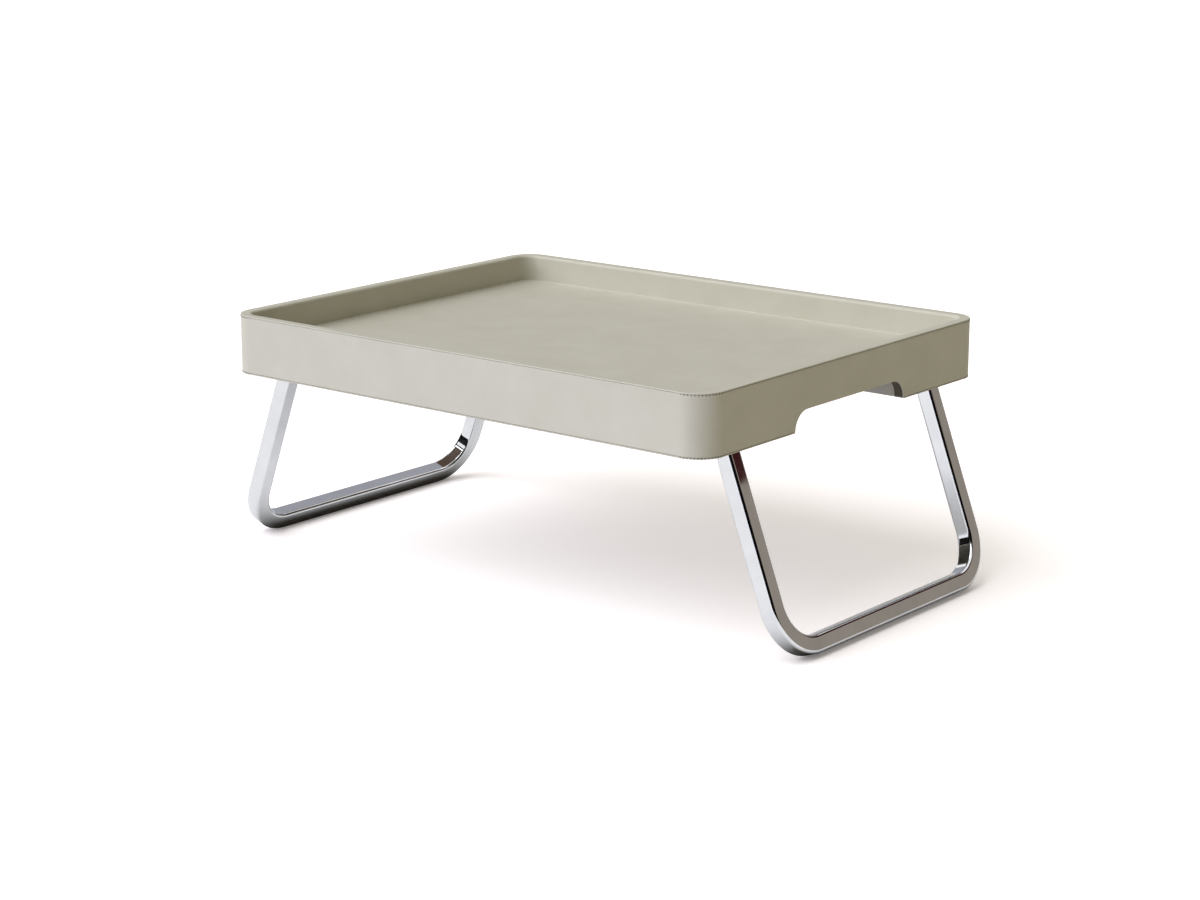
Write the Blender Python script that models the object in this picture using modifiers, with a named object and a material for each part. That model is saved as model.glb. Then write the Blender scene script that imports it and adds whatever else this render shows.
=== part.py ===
"""Leather-covered bed tray on two folding U legs of chromed square tube.

Metres, +Z up. The origin is on the ground under the middle of the tray, and X runs along the tray's length.
"""

import math

import bmesh
import bpy
from mathutils import Matrix

# Tray
TRAY_LENGTH = 0.600
TRAY_WIDTH = 0.464
SKIRT_HEIGHT = 0.060
CORNER_RADIUS = 0.028
RECESS_DEPTH = 0.028

# Layers of the wall and the floor
LEATHER = 0.0012
CORE = 0.009
PANEL = 0.006
FELT = 0.0008
RIM_ROUND = 0.003
GROOVE_DEPTH = 0.004
CORNER_TAIL = 0.012

# Handle notch in the lower edge of each short wall
NOTCH_LENGTH = 0.184
NOTCH_HEIGHT = 0.020
NOTCH_RADIUS = 0.019
EDGING = 0.001

# Legs. The setback runs from the tray's long side to the leg, and the reach from the pivot axis to the end face
# of the foot bar.
BAR = 0.0175
BAR_ROUND = 0.002
TUBE_WALL = 0.0015
LEG_SETBACK = 0.05475
LEG_REACH = 0.21825
BEND_RADIUS = 0.05325
SPLAY = math.radians(20.5)
PIVOT_INSET = 0.0274
PIVOT_RISE = 0.0107

# Pivots
BOLT_RADIUS = 0.003
BOLT_HEAD_RADIUS = 0.0055
BOLT_HEAD = 0.0028
SOCKET_RADIUS = 0.002
SOCKET_DEPTH = 0.0016
BOLT_GRIP = 0.022
WASHER_RADIUS = 0.006
WASHER = 0.001
INSERT_RADIUS = 0.0045
INSERT_LENGTH = 0.012
PLUG_DEPTH = 0.018
PIVOT_CLEARANCE = 0.00005

# Hinge blocks and their screws
BLOCK_LENGTH = 0.046
BLOCK_ROUND = 0.002
BLOCK_SCREW_RADIUS = 0.002
BLOCK_SCREW_HEAD = 0.004
BLOCK_SCREW_BITE = 0.004
BLOCK_SCREW_INSET = 0.011
BLOCK_SCREW_SHARES = {"near": 0.25, "far": 0.75}

# Leg stops
STOP_HEIGHT = 0.008
STOP_LIFT = 0.001

# Catches that hold the folded legs
CATCH_LENGTH = 0.036
CATCH_WIDTH = 0.014
CATCH_ROUND = 0.003
MAGNET_RADIUS = 0.005
MAGNET = 0.002

# Clearance between touching neighbours, weld distance, and how far a cutter runs past what it cuts
GAP = 0.0003
WELD = 0.00001
OVERRUN = 0.004

CORNER_STEPS = 8
BEND_STEPS = 8
ROUND_STEPS = 3
BLOCK_ROUND_STEPS = 2
FINE_SIDES = 16
SMALL_SIDES = 12
RIGHT_ANGLE = math.radians(90)
HALF_TURN = math.radians(180)
FULL_TURN = math.radians(360)
SMOOTH_ANGLE = math.radians(35)

LEFT_RIGHT = {"left": -1, "right": 1}
FRONT_BACK = {"front": -1, "back": 1}

# Planes that flat outlines are drawn in: upright along the tray, and upright across it
ALONG = Matrix.Rotation(RIGHT_ANGLE, 4, "X")
ACROSS = Matrix(((0, 0, 1, 0), (1, 0, 0, 0), (0, 1, 0, 0), (0, 0, 0, 1)))


def arc(centre, radius, start, end, steps):
    """Points of an arc in a plane, from one angle to another."""
    angles = [start + (end - start) * step / steps for step in range(steps + 1)]
    return [(centre[0] + radius * math.cos(a), centre[1] + radius * math.sin(a)) for a in angles]


def circle(centre, radius, sides):
    return arc(centre, radius, 0, FULL_TURN, sides)[:-1]


def rounded_rectangle(half_x, half_y, radius, steps):
    """Counter-clockwise outline with round corners, centred on the origin."""
    points = []
    for corner, (sign_x, sign_y) in enumerate(((1, 1), (-1, 1), (-1, -1), (1, -1))):
        centre = (sign_x * (half_x - radius), sign_y * (half_y - radius))
        start = corner * RIGHT_ANGLE
        points += arc(centre, radius, start, start + RIGHT_ANGLE, steps)
    return points


# Wall layers, as insets from the tray's outer face
WALL = 2 * LEATHER + 2 * GAP + CORE
CORE_OUTER = LEATHER + GAP
CORE_INNER = CORE_OUTER + CORE
CORE_MIDDLE = CORE_OUTER + CORE / 2
CORE_ROUND = RIM_ROUND - LEATHER - GAP
END = TRAY_LENGTH / 2
SIDE = TRAY_WIDTH / 2

# The splayed foot bar stands on its lowest edge, and every height is counted from there.
BAR_HALF = BAR / 2
BAR_SECTION = rounded_rectangle(BAR_HALF, BAR_HALF, BAR_ROUND, ROUND_STEPS)
FOOT_CENTRE = LEG_REACH - BAR_HALF
LEG_WIDTH = TRAY_WIDTH - 2 * LEG_SETBACK
LEG_HALF = LEG_WIDTH / 2 - BAR_HALF
PIVOT_X = END - PIVOT_INSET
PIVOT_Z = max(
    (FOOT_CENTRE + along) * math.cos(SPLAY) + inward * math.sin(SPLAY) for inward, along in BAR_SECTION
)
SKIRT_BOTTOM = PIVOT_Z - PIVOT_RISE
RIM_TOP = SKIRT_BOTTOM + SKIRT_HEIGHT
CORE_TOP = RIM_TOP - LEATHER - GAP
CORE_BOTTOM = SKIRT_BOTTOM + LEATHER + GAP
FLOOR_TOP = RIM_TOP - RECESS_DEPTH
PANEL_TOP = FLOOR_TOP - LEATHER - GAP
PANEL_BOTTOM = PANEL_TOP - PANEL
FELT_TOP = PANEL_BOTTOM - GAP
UNDERSIDE = FELT_TOP - FELT

# Stations across the tray, outward from its middle, of what the pivot bolt passes through
BLOCK_NEAR = NOTCH_LENGTH / 2
BLOCK_FACE = LEG_WIDTH / 2 - BAR - 2 * GAP - WASHER
INNER_WASHER = BLOCK_FACE + GAP + WASHER
OUTER_WASHER = LEG_WIDTH / 2 + GAP + WASHER
BOLT_SEAT = OUTER_WASHER + GAP
STOP_WIDTH = BAR + 2 * WASHER
LINING_X = END - WALL - GAP
BORE_RADIUS = BOLT_RADIUS + GAP
PLUG_BORE_RADIUS = (BOLT_RADIUS + PIVOT_CLEARANCE) / math.cos(HALF_TURN / FINE_SIDES)
CATCH_X = PIVOT_X - FOOT_CENTRE
CATCH_TOP = UNDERSIDE - GAP
CATCH_BOTTOM = PIVOT_Z + BAR_HALF + GAP


def clear_scene():
    for old in list(bpy.data.objects):
        bpy.data.objects.remove(old, do_unlink=True)


def new_collection(name):
    made = bpy.data.collections.new(name)
    bpy.context.scene.collection.children.link(made)
    return made


def new_material(name, colour, roughness, metallic=0.0):
    """A Principled finish. The colour is given as red, green and blue bytes."""
    made = bpy.data.materials.new(name)
    made.use_nodes = True
    shader = made.node_tree.nodes["Principled BSDF"]
    linear = [((byte / 255 + 0.055) / 1.055) ** 2.4 for byte in colour]
    shader.inputs["Base Color"].default_value = (*linear, 1.0)
    shader.inputs["Roughness"].default_value = roughness
    shader.inputs["Metallic"].default_value = metallic
    return made


def add(name, mesh, place=None):
    """Links a mesh as a part and puts it in its place."""
    made = bpy.data.objects.new(name, mesh)
    PARTS.objects.link(made)
    made.matrix_world = place or Matrix.Identity(4)
    return made


def as_cutter(made):
    PARTS.objects.unlink(made)
    CUTTERS.objects.link(made)
    made.hide_render = True
    made.display_type = "WIRE"
    return made


def cut(target, *cutters):
    for cutter in cutters:
        modifier = target.modifiers.new(cutter.name, "BOOLEAN")
        modifier.operation = "DIFFERENCE"
        modifier.solver = "EXACT"
        modifier.object = cutter


def round_edges(target, width):
    modifier = target.modifiers.new("rounded edges", "BEVEL")
    modifier.width = width
    modifier.segments = BLOCK_ROUND_STEPS
    modifier.limit_method = "ANGLE"


def finish(target, look, smooth=True):
    """Gives a part its material, and shades its round faces smooth."""
    target.data.materials.clear()
    target.data.materials.append(look)
    if smooth:
        target.data.shade_smooth()
        target.data.set_sharp_from_angle(angle=SMOOTH_ANGLE)
    return target


def new_curve(name, loops, closed=True):
    curve = bpy.data.curves.new(name, "CURVE")
    curve.dimensions = "2D"
    for loop in loops:
        spline = curve.splines.new("POLY")
        spline.points.add(len(loop) - 1)
        for point, (x, y) in zip(spline.points, loop):
            point.co = (x, y, 0, 1)
        spline.use_cyclic_u = closed
    made = bpy.data.objects.new(name, curve)
    CUTTERS.objects.link(made)
    return made


def solid_mesh(source):
    """The evaluated shape of an object as a welded mesh. The object is removed."""
    bpy.context.view_layer.update()
    graph = bpy.context.evaluated_depsgraph_get()
    mesh = bpy.data.meshes.new_from_object(source.evaluated_get(graph))
    bpy.data.objects.remove(source)
    shape = bmesh.new()
    shape.from_mesh(mesh)
    bmesh.ops.remove_doubles(shape, verts=shape.verts, dist=WELD)
    bmesh.ops.recalc_face_normals(shape, faces=shape.faces)
    shape.to_mesh(mesh)
    shape.free()
    return mesh


def prism(name, loops, thickness, place=None):
    """A flat outline, with any holes, thickened evenly to both sides of its plane."""
    source = new_curve(name, loops)
    source.data.fill_mode = "BOTH"
    source.data.extrude = thickness / 2
    return add(name, solid_mesh(source), place)


def sweep(name, path, section, closed=True, caps=True, place=None):
    """A section carried along a flat path. Its first size is measured to the path's left, its second upward."""
    # The curve turns the section of an open path round.
    to_left = 1 if closed else -1
    profile = new_curve(name + "_section", [[(to_left * left, up) for left, up in section]])
    source = new_curve(name, [path], closed)
    source.data.bevel_mode = "OBJECT"
    source.data.bevel_object = profile
    source.data.use_fill_caps = caps
    mesh = solid_mesh(source)
    bpy.data.objects.remove(profile)
    return add(name, mesh, place)


def box(name, low, high):
    """A box between two corners, with its origin at its middle."""
    sizes = [b - a for a, b in zip(low, high)]
    shape = bmesh.new()
    bmesh.ops.create_cube(shape, size=1, matrix=Matrix.Diagonal((*sizes, 1)))
    mesh = bpy.data.meshes.new(name)
    shape.to_mesh(mesh)
    shape.free()
    return add(name, mesh, Matrix.Translation([(a + b) / 2 for a, b in zip(low, high)]))


def turned(profile, sides, ring=False):
    """The mesh of a turned shape, from radii and heights down its outer side. A ring's profile is a closed loop."""
    edges = [(i, i + 1) for i in range(len(profile) - 1)]
    if ring:
        edges.append((len(profile) - 1, 0))
    blank = bpy.data.meshes.new("turned")
    blank.from_pydata([(radius, 0, height) for radius, height in profile], edges, [])
    source = bpy.data.objects.new("turned", blank)
    CUTTERS.objects.link(source)
    screw = source.modifiers.new("turn", "SCREW")
    screw.steps = sides
    screw.render_steps = sides
    screw.use_merge_vertices = True
    screw.merge_threshold = WELD
    return solid_mesh(source)


def cutters_at(name, mesh, places):
    """One cutter that holds a separate copy of a mesh at each place."""
    shape = bmesh.new()
    for place in places:
        piece = mesh.copy()
        piece.transform(place)
        shape.from_mesh(piece)
        bpy.data.meshes.remove(piece)
    joined = bpy.data.meshes.new(name)
    shape.to_mesh(joined)
    shape.free()
    return as_cutter(add(name, joined))


def rod(radius, length, sides=SMALL_SIDES, above=0):
    """A cylinder along Z, from a height above the origin to a length below it."""
    return turned([(0, above), (radius, above), (radius, -length), (0, -length)], sides)


def tube_ring(inner, outer, length, sides=FINE_SIDES):
    """A plain ring along Z, from the origin down."""
    return turned([(inner, 0), (outer, 0), (outer, -length), (inner, -length)], sides, ring=True)


def wood_screw(radius, head, length):
    """A countersunk screw with its flat head at the origin and its point downward."""
    taper = head - radius
    profile = [(0, 0), (head, 0), (radius, -taper), (radius, 2 * radius - length), (0, -length)]
    return turned(profile, SMALL_SIDES)


def wood_screw_hole(radius, head, length):
    """The hole for such a screw, open above its head."""
    head += GAP
    radius += GAP
    length += GAP
    profile = [(0, OVERRUN), (head, OVERRUN), (head, 0), (radius, radius - head), (radius, -length), (0, -length)]
    return turned(profile, SMALL_SIDES)


def facing(position, axis, sign):
    """A place whose downward side runs along an axis, forward or back."""
    turns = {"Y": sign * RIGHT_ANGLE, "Z": (1 + sign) * RIGHT_ANGLE}
    return Matrix.Translation(position) @ Matrix.Rotation(turns[axis], 4, "X")


def quarters():
    """Name, side along the tray and side across it, for each quarter of the tray."""
    for end_name, sign_x in LEFT_RIGHT.items():
        for side_name, sign_y in FRONT_BACK.items():
            yield side_name + "_" + end_name, sign_x, sign_y


def notch_arch(grow):
    """The arch of a handle notch in the plane across the tray, grown evenly."""
    half = NOTCH_LENGTH / 2 + grow
    top = SKIRT_BOTTOM + NOTCH_HEIGHT + grow
    radius = NOTCH_RADIUS + grow
    right = arc((half - radius, top - radius), radius, 0, RIGHT_ANGLE, CORNER_STEPS)
    left = arc((radius - half, top - radius), radius, RIGHT_ANGLE, HALF_TURN, CORNER_STEPS)
    return right + left


def closed_arch(grow, low):
    """The same arch with straight sides down to a given height."""
    arch = notch_arch(grow)
    return [(arch[0][0], low)] + arch + [(arch[-1][0], low)]


def notch_cutters(name, grow):
    """One cutter for each handle notch."""
    made = {}
    for end_name, sign in LEFT_RIGHT.items():
        place = Matrix.Translation((sign * (END - WALL / 2), 0, 0)) @ ACROSS
        outline = closed_arch(grow, SKIRT_BOTTOM - OVERRUN)
        made[end_name] = as_cutter(prism(end_name + name, [outline], WALL + 2 * OVERRUN, place))
    return made


def core_section():
    """Section of the wall core, as inset and height. Its inner face has the groove for the floor panel."""
    groove_back = CORE_INNER - GROOVE_DEPTH
    round_centre = (CORE_INNER - CORE_ROUND, CORE_TOP - CORE_ROUND)
    return [
        (CORE_OUTER, CORE_BOTTOM),
        (CORE_INNER, CORE_BOTTOM),
        (CORE_INNER, PANEL_BOTTOM - GAP),
        (groove_back, PANEL_BOTTOM - GAP),
        (groove_back, PANEL_TOP + GAP),
        (CORE_INNER, PANEL_TOP + GAP),
        *arc(round_centre, CORE_ROUND, 0, RIGHT_ANGLE, ROUND_STEPS),
        (CORE_OUTER, CORE_TOP),
    ]


def perimeter(inset=0):
    """The tray's plan outline, moved inward."""
    return rounded_rectangle(END - inset, SIDE - inset, CORNER_RADIUS - inset, CORNER_STEPS)


def build_frame():
    """Four straight rails and four bent corners, glued end to end round the floor panel."""
    long_rail = 2 * (END - CORNER_RADIUS - CORNER_TAIL - GAP)
    short_rail = 2 * (SIDE - CORNER_RADIUS - CORNER_TAIL - GAP)
    core_notches = notch_cutters("_core_notch", EDGING + GAP)
    for name, sign in FRONT_BACK.items():
        section = [(sign * (SIDE - inset), height) for inset, height in core_section()]
        finish(prism(name + "_rail", [section], long_rail, ACROSS), PLYWOOD)
    for name, sign in LEFT_RIGHT.items():
        section = [(sign * (END - inset), height) for inset, height in core_section()]
        rail = prism(name + "_rail", [section], short_rail, ALONG)
        cut(rail, core_notches[name])
        finish(rail, PLYWOOD)

    bend = arc((0, 0), CORNER_RADIUS, 0, RIGHT_ANGLE, CORNER_STEPS)
    path = [(CORNER_RADIUS, -CORNER_TAIL)] + bend + [(-CORNER_TAIL, CORNER_RADIUS)]
    quarter_turns = {(1, 1): 0, (-1, 1): 1, (-1, -1): 2, (1, -1): 3}
    for name, sign_x, sign_y in quarters():
        centre = (sign_x * (END - CORNER_RADIUS), sign_y * (SIDE - CORNER_RADIUS), 0)
        turn = Matrix.Rotation(quarter_turns[sign_x, sign_y] * RIGHT_ANGLE, 4, "Z")
        place = Matrix.Translation(centre) @ turn
        finish(sweep(name + "_corner", path, core_section(), closed=False, place=place), PLYWOOD)

    for name, sign in LEFT_RIGHT.items():
        outline = closed_arch(EDGING, CORE_BOTTOM) + closed_arch(0, CORE_BOTTOM)[::-1]
        place = Matrix.Translation((sign * (END - CORE_MIDDLE), 0, 0)) @ ACROSS
        finish(prism(name + "_notch_edging", [outline], CORE, place), DARK_EDGING)


def build_floor(screw_holes):
    """The grooved-in panel, the leather on it and the felt under it."""
    place = Matrix.Translation((0, 0, (PANEL_TOP + PANEL_BOTTOM) / 2))
    panel = prism("floor_panel", [perimeter(CORE_INNER - GROOVE_DEPTH + GAP)], PANEL, place)
    cut(panel, screw_holes)
    finish(panel, PLYWOOD, smooth=False)

    place = Matrix.Translation((0, 0, FLOOR_TOP - LEATHER / 2))
    leather = prism("floor_leather", [perimeter(WALL + GAP)], LEATHER, place)
    finish(leather, GREIGE_LEATHER, smooth=False)

    place = Matrix.Translation((0, 0, FELT_TOP - FELT / 2))
    felt = prism("underside_felt", [perimeter(WALL + GAP)], FELT, place)
    cut(felt, screw_holes)
    finish(felt, DARK_FELT, smooth=False)


def build_leather():
    """The band round the outside, the skin over the rim and inner walls, and the lining inside the skirt."""
    band_section = [(0, CORE_BOTTOM), (LEATHER, CORE_BOTTOM), (LEATHER, CORE_TOP), (0, CORE_TOP)]
    round_centre = (WALL - RIM_ROUND, RIM_TOP - RIM_ROUND)
    rim_section = [
        (0, RIM_TOP - LEATHER),
        *arc(round_centre, RIM_ROUND - LEATHER, RIGHT_ANGLE, 0, ROUND_STEPS),
        (WALL - LEATHER, PANEL_TOP + GAP),
        (WALL, PANEL_TOP + GAP),
        *arc(round_centre, RIM_ROUND, 0, RIGHT_ANGLE, ROUND_STEPS),
        (0, RIM_TOP),
    ]
    lining_section = [
        (0, SKIRT_BOTTOM),
        (WALL, SKIRT_BOTTOM),
        (WALL, FELT_TOP),
        (WALL - LEATHER, FELT_TOP),
        (WALL - LEATHER, SKIRT_BOTTOM + LEATHER),
        (0, SKIRT_BOTTOM + LEATHER),
    ]
    notches = notch_cutters("_notch", 0).values()
    band = sweep("outer_leather_band", perimeter(), band_section)
    cut(band, *notches)
    finish(band, GREIGE_LEATHER)
    finish(sweep("rim_leather", perimeter(), rim_section), GREIGE_LEATHER)
    lining = sweep("skirt_lining", perimeter(), lining_section)
    cut(lining, *notches)
    finish(lining, GREIGE_LEATHER)


def leg_place(sign, across=0):
    """The pivot of a leg, tilted with it: X outward from its plane, Y across the tray, Z up the leg."""
    facing_out = Matrix.Rotation(0 if sign > 0 else HALF_TURN, 4, "Z")
    pivot = Matrix.Translation((PIVOT_X, sign * across, PIVOT_Z))
    return facing_out @ pivot @ Matrix.Rotation(-SPLAY, 4, "Y")


def build_legs():
    """U legs bent from square tube, each with its pivot plugs, on a pivot axis near the top of the uprights."""
    bend = BEND_RADIUS - BAR_HALF
    near = (bend - LEG_HALF, bend - FOOT_CENTRE)
    far = (LEG_HALF - bend, bend - FOOT_CENTRE)
    path = [(-LEG_HALF, BAR_HALF), *arc(near, bend, HALF_TURN, HALF_TURN + RIGHT_ANGLE, BEND_STEPS)]
    path += [*arc(far, bend, -RIGHT_ANGLE, 0, BEND_STEPS), (LEG_HALF, BAR_HALF)]

    end_radius = BAR_HALF + GAP
    wide = BAR_HALF + OVERRUN
    dome = arc((0, 0), end_radius, HALF_TURN, 0, SMALL_SIDES)
    above_dome = [(-wide, 0), *dome, (wide, 0), (wide, wide), (-wide, wide)]

    plug_half = BAR_HALF - TUBE_WALL - GAP
    plug_outline = [(-plug_half, -PLUG_DEPTH), (plug_half, -PLUG_DEPTH)]
    plug_outline += arc((0, 0), plug_half, 0, HALF_TURN, SMALL_SIDES)
    plug_bore = circle((0, 0), PLUG_BORE_RADIUS, FINE_SIDES)

    clearance = rod(BORE_RADIUS + GAP, BAR + 2 * OVERRUN, FINE_SIDES)
    for name, sign in LEFT_RIGHT.items():
        leg = sweep(name + "_leg", path, BAR_SECTION, closed=False, caps=False, place=leg_place(sign) @ ACROSS)
        shell = leg.modifiers.new("tube wall", "SOLIDIFY")
        shell.thickness = TUBE_WALL
        shell.offset = -1
        shell.use_even_offset = True
        ends = prism(name + "_leg_ends", [above_dome], LEG_WIDTH + 2 * OVERRUN, leg_place(sign) @ ALONG)
        start = LEG_HALF + BAR_HALF + OVERRUN
        holes = [facing((sign * PIVOT_X, way * start, PIVOT_Z), "Y", -way) for way in (-1, 1)]
        cut(leg, as_cutter(ends), cutters_at(name + "_leg_bores", clearance, holes))
        finish(leg, CHROME)

    for name, sign_x, sign_y in quarters():
        place = leg_place(sign_x, sign_y * LEG_HALF) @ ALONG
        plug = prism(name + "_pivot_plug", [plug_outline, plug_bore], 2 * plug_half, place)
        finish(plug, BLACK_NYLON)


def build_pivots():
    """Bolts, washers and threaded inserts. Returns the cutter for their holes in the hinge blocks."""
    length = BOLT_SEAT - BLOCK_FACE + BOLT_GRIP
    bolt_mesh = turned(
        [
            (0, BOLT_HEAD - SOCKET_DEPTH),
            (SOCKET_RADIUS, BOLT_HEAD - SOCKET_DEPTH),
            (SOCKET_RADIUS, BOLT_HEAD),
            (BOLT_HEAD_RADIUS, BOLT_HEAD),
            (BOLT_HEAD_RADIUS, 0),
            (BOLT_RADIUS, 0),
            (BOLT_RADIUS, -length),
            (0, -length),
        ],
        FINE_SIDES,
    )
    meshes = {
        "pivot_bolt": (BOLT_SEAT, bolt_mesh, STEEL),
        "outer_washer": (OUTER_WASHER, tube_ring(BORE_RADIUS, WASHER_RADIUS, WASHER), BLACK_NYLON),
        "inner_washer": (INNER_WASHER, tube_ring(BORE_RADIUS, WASHER_RADIUS, WASHER), BLACK_NYLON),
        "threaded_insert": (BLOCK_FACE, tube_ring(BORE_RADIUS, INSERT_RADIUS, INSERT_LENGTH), BRASS),
    }
    mouths = []
    for name, sign_x, sign_y in quarters():
        for piece, (across, mesh, look) in meshes.items():
            place = facing((sign_x * PIVOT_X, sign_y * across, PIVOT_Z), "Y", -sign_y)
            finish(add(name + "_" + piece, mesh.copy(), place), look)
        mouths.append(facing((sign_x * PIVOT_X, sign_y * BLOCK_FACE, PIVOT_Z), "Y", -sign_y))

    insert_hole = INSERT_RADIUS + GAP
    insert_depth = INSERT_LENGTH + GAP
    hole_depth = BOLT_GRIP + GAP
    hole = turned(
        [
            (0, OVERRUN),
            (insert_hole, OVERRUN),
            (insert_hole, -insert_depth),
            (BORE_RADIUS, -insert_depth),
            (BORE_RADIUS, -hole_depth),
            (0, -hole_depth),
        ],
        FINE_SIDES,
    )
    return cutters_at("pivot_holes", hole, mouths)


def build_blocks(pivot_holes):
    """The hinge blocks beside the handle notches, and their screws. Returns the cutter for the screw holes."""
    inner_x = LINING_X - BLOCK_LENGTH
    length = PANEL_BOTTOM + BLOCK_SCREW_BITE - SKIRT_BOTTOM
    screw = wood_screw(BLOCK_SCREW_RADIUS, BLOCK_SCREW_HEAD, length)
    blocks = []
    mouths = []
    for name, sign_x, sign_y in quarters():
        ends = sorted((sign_x * inner_x, sign_x * LINING_X))
        sides = sorted((sign_y * BLOCK_NEAR, sign_y * BLOCK_FACE))
        low = (ends[0], sides[0], SKIRT_BOTTOM)
        high = (ends[1], sides[1], UNDERSIDE - GAP)
        blocks.append(box(name + "_hinge_block", low, high))
        for station, share in BLOCK_SCREW_SHARES.items():
            across = BLOCK_NEAR + share * (BLOCK_FACE - BLOCK_NEAR)
            mouth = facing((sign_x * (inner_x + BLOCK_SCREW_INSET), sign_y * across, SKIRT_BOTTOM), "Z", 1)
            finish(add(name + "_block_screw_" + station, screw.copy(), mouth), STEEL)
            mouths.append(mouth)
    hole = wood_screw_hole(BLOCK_SCREW_RADIUS, BLOCK_SCREW_HEAD, length)
    screw_holes = cutters_at("block_screw_holes", hole, mouths)
    for block in blocks:
        round_edges(block, BLOCK_ROUND)
        cut(block, pivot_holes, screw_holes)
        finish(block, GREIGE_LEATHER)
    return screw_holes


def leg_face_x(height):
    """How far out an open upright's outer face stands at a height, with the clearance to its stop."""
    return PIVOT_X + (BAR_HALF + GAP - (height - PIVOT_Z) * math.sin(SPLAY)) / math.cos(SPLAY)


def build_stops():
    """Wedges on the inside of the short walls, which the open uprights lean on."""
    low = SKIRT_BOTTOM + STOP_LIFT
    high = low + STOP_HEIGHT
    outline = [(leg_face_x(low), low), (LINING_X, low), (LINING_X, high), (leg_face_x(high), high)]
    for name, sign_x, sign_y in quarters():
        mirrored = [(sign_x * x, z) for x, z in outline]
        place = Matrix.Translation((0, sign_y * LEG_HALF, 0)) @ ALONG
        finish(prism(name + "_leg_stop", [mirrored], STOP_WIDTH, place), BLACK_NYLON)


def build_catches():
    """Magnets in small plates under the floor, which the folded foot bars meet."""
    outline = rounded_rectangle(CATCH_WIDTH / 2, CATCH_LENGTH / 2, CATCH_ROUND, ROUND_STEPS)
    magnet = rod(MAGNET_RADIUS, MAGNET, FINE_SIDES)
    recess = rod(MAGNET_RADIUS + GAP, MAGNET + GAP, FINE_SIDES, above=OVERRUN)
    for name, sign in LEFT_RIGHT.items():
        middle = Matrix.Translation((sign * CATCH_X, 0, (CATCH_TOP + CATCH_BOTTOM) / 2))
        plate = prism(name + "_catch_plate", [outline], CATCH_TOP - CATCH_BOTTOM, middle)
        mouth = facing((sign * CATCH_X, 0, CATCH_BOTTOM), "Z", 1)
        cut(plate, cutters_at(name + "_magnet_recess", recess, [mouth]))
        finish(plate, BLACK_NYLON)
        finish(add(name + "_catch_magnet", magnet.copy(), mouth), MAGNET_NICKEL)


clear_scene()
PARTS = new_collection("bed_tray")
CUTTERS = new_collection("cutters")

GREIGE_LEATHER = new_material("greige leather", (198, 195, 181), 0.55)
DARK_EDGING = new_material("dark edging", (72, 62, 48), 0.7)
PLYWOOD = new_material("birch plywood", (196, 164, 122), 0.7)
DARK_FELT = new_material("dark brown felt", (50, 44, 39), 0.95)
CHROME = new_material("polished chrome", (235, 236, 238), 0.05, 1.0)
STEEL = new_material("zinc-plated steel", (190, 192, 194), 0.3, 1.0)
BRASS = new_material("brass", (196, 160, 88), 0.3, 1.0)
MAGNET_NICKEL = new_material("nickel-plated magnet", (200, 198, 192), 0.2, 1.0)
BLACK_NYLON = new_material("black nylon", (34, 34, 35), 0.5)

build_frame()
build_leather()
build_floor(build_blocks(build_pivots()))
build_stops()
build_catches()
build_legs()
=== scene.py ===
"""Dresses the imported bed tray: a leather-covered frame on two folding legs of chromed square tube.

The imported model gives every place. Each class below makes one sub-assembly, with the sizes that it
adds as its fields, and main() builds them in order. Lengths are in metres.
"""

import logging
import math
from collections.abc import Iterable, Iterator
from dataclasses import dataclass, field
from enum import Enum

import bmesh
import bpy
from mathutils import Matrix, Vector


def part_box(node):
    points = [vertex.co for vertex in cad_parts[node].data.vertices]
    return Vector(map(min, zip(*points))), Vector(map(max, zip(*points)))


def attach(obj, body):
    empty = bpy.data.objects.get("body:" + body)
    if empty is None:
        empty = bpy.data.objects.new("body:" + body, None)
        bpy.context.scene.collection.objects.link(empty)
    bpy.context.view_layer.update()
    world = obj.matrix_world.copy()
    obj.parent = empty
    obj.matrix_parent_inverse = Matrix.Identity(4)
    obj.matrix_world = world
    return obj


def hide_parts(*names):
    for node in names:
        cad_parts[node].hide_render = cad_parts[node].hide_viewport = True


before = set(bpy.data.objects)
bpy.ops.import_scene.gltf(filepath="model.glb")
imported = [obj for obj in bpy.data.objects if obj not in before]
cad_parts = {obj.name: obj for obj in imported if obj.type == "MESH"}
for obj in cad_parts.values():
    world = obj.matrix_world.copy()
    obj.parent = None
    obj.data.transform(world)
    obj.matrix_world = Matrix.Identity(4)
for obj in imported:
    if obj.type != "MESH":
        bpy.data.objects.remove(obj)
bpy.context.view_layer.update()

LOG = logging.getLogger("bed_tray")
QUARTER = math.radians(90)
# The distance between the bands of the wave texture at a scale of 1.
WAVE_LENGTH = 0.31
Pair = tuple[float, float]
Section = list[Pair]
Place = tuple[float, float, float]
Colour = tuple[float, float, float, float]
Piece = bpy.types.Object
Material = bpy.types.Material
Tree = bpy.types.NodeTree
Node = bpy.types.Node
Socket = bpy.types.NodeSocket


class Body(Enum):
    """The bodies that the joints connect."""

    TRAY = "tray"
    LEFT_LEG = "left_leg_unit"
    RIGHT_LEG = "right_leg_unit"


class Slot(Enum):
    """The material slots of the record."""

    LEATHER = "leather"
    EDGING = "edging"
    PLYWOOD = "plywood"
    FELT = "felt"
    CHROME = "chrome"
    STEEL = "steel"
    BRASS = "brass"
    MAGNET = "magnet"
    NYLON = "nylon"


class Side(Enum):
    """A side of the tray, with the word that the node names use for it."""

    @property
    def word(self) -> str:
        """The side's word."""
        return self.name.lower()


class End(Side):
    """The ends of the tray, by their side along its length."""

    LEFT = -1
    RIGHT = 1

    @property
    def leg_body(self) -> Body:
        """The body of the leg that folds under this end."""
        return Body.LEFT_LEG if self is End.LEFT else Body.RIGHT_LEG


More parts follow.
